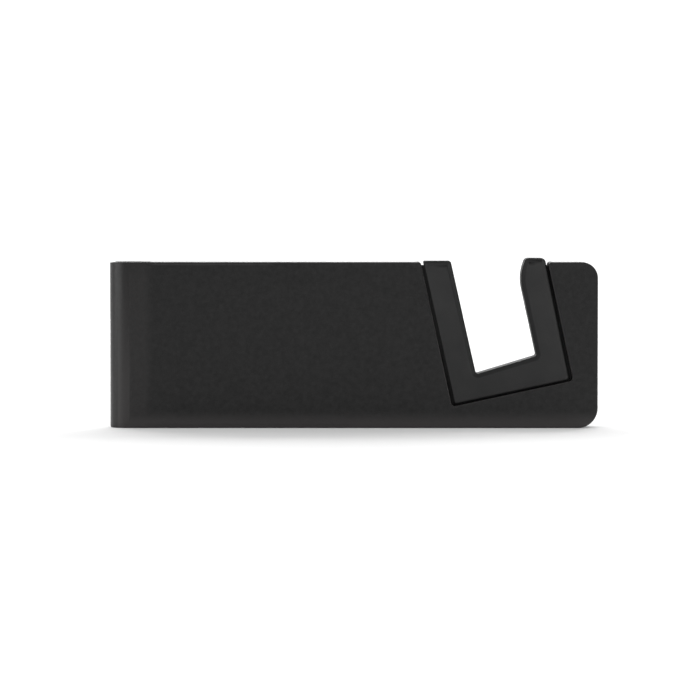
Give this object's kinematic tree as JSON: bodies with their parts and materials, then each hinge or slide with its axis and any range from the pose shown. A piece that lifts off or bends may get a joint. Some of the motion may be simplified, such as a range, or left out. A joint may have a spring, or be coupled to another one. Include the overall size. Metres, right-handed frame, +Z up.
{
  "type": "phone stand",
  "caption": "Folding phone stand: flat leaves hinged at a short edge open into a V, each with a leaning slot lined by a U-shaped soft grip that a phone rests in.",
  "frame": {"origin": "below the middle of the folded stand, on the surface it rests on", "axes": "+X along the folded leaves from hinge to free end, +Z up as the stand is used, -Y the front leaf's outer face"},
  "size_m": [0.1, 0.008, 0.0348],
  "materials": {
    "leaf_plastic": "fine matte texture, black",
    "grip_rubber": "smooth satin charcoal",
    "washer_nylon": "plain nylon",
    "pin_steel": "drawn steel rod"
  },
  "bodies": {
    "front_leaf": {"front_shell": "leaf_plastic", "front_liner": "leaf_plastic", "front_grip": "grip_rubber", "hinge_pin": "pin_steel", "lower_washer": "washer_nylon", "upper_washer": "washer_nylon", "lower_cap": "leaf_plastic", "upper_cap": "leaf_plastic"},
    "rear_leaf": {"rear_shell": "leaf_plastic", "rear_liner": "leaf_plastic", "rear_grip": "grip_rubber"}
  },
  "joints": [
    {"name": "leaf_hinge", "type": "hinge", "parent": "front_leaf", "child": "rear_leaf", "pos_m": [-0.046, 0, 0.017], "axis": [0, 0, 1], "range_deg": [0, 70]}
  ]
}
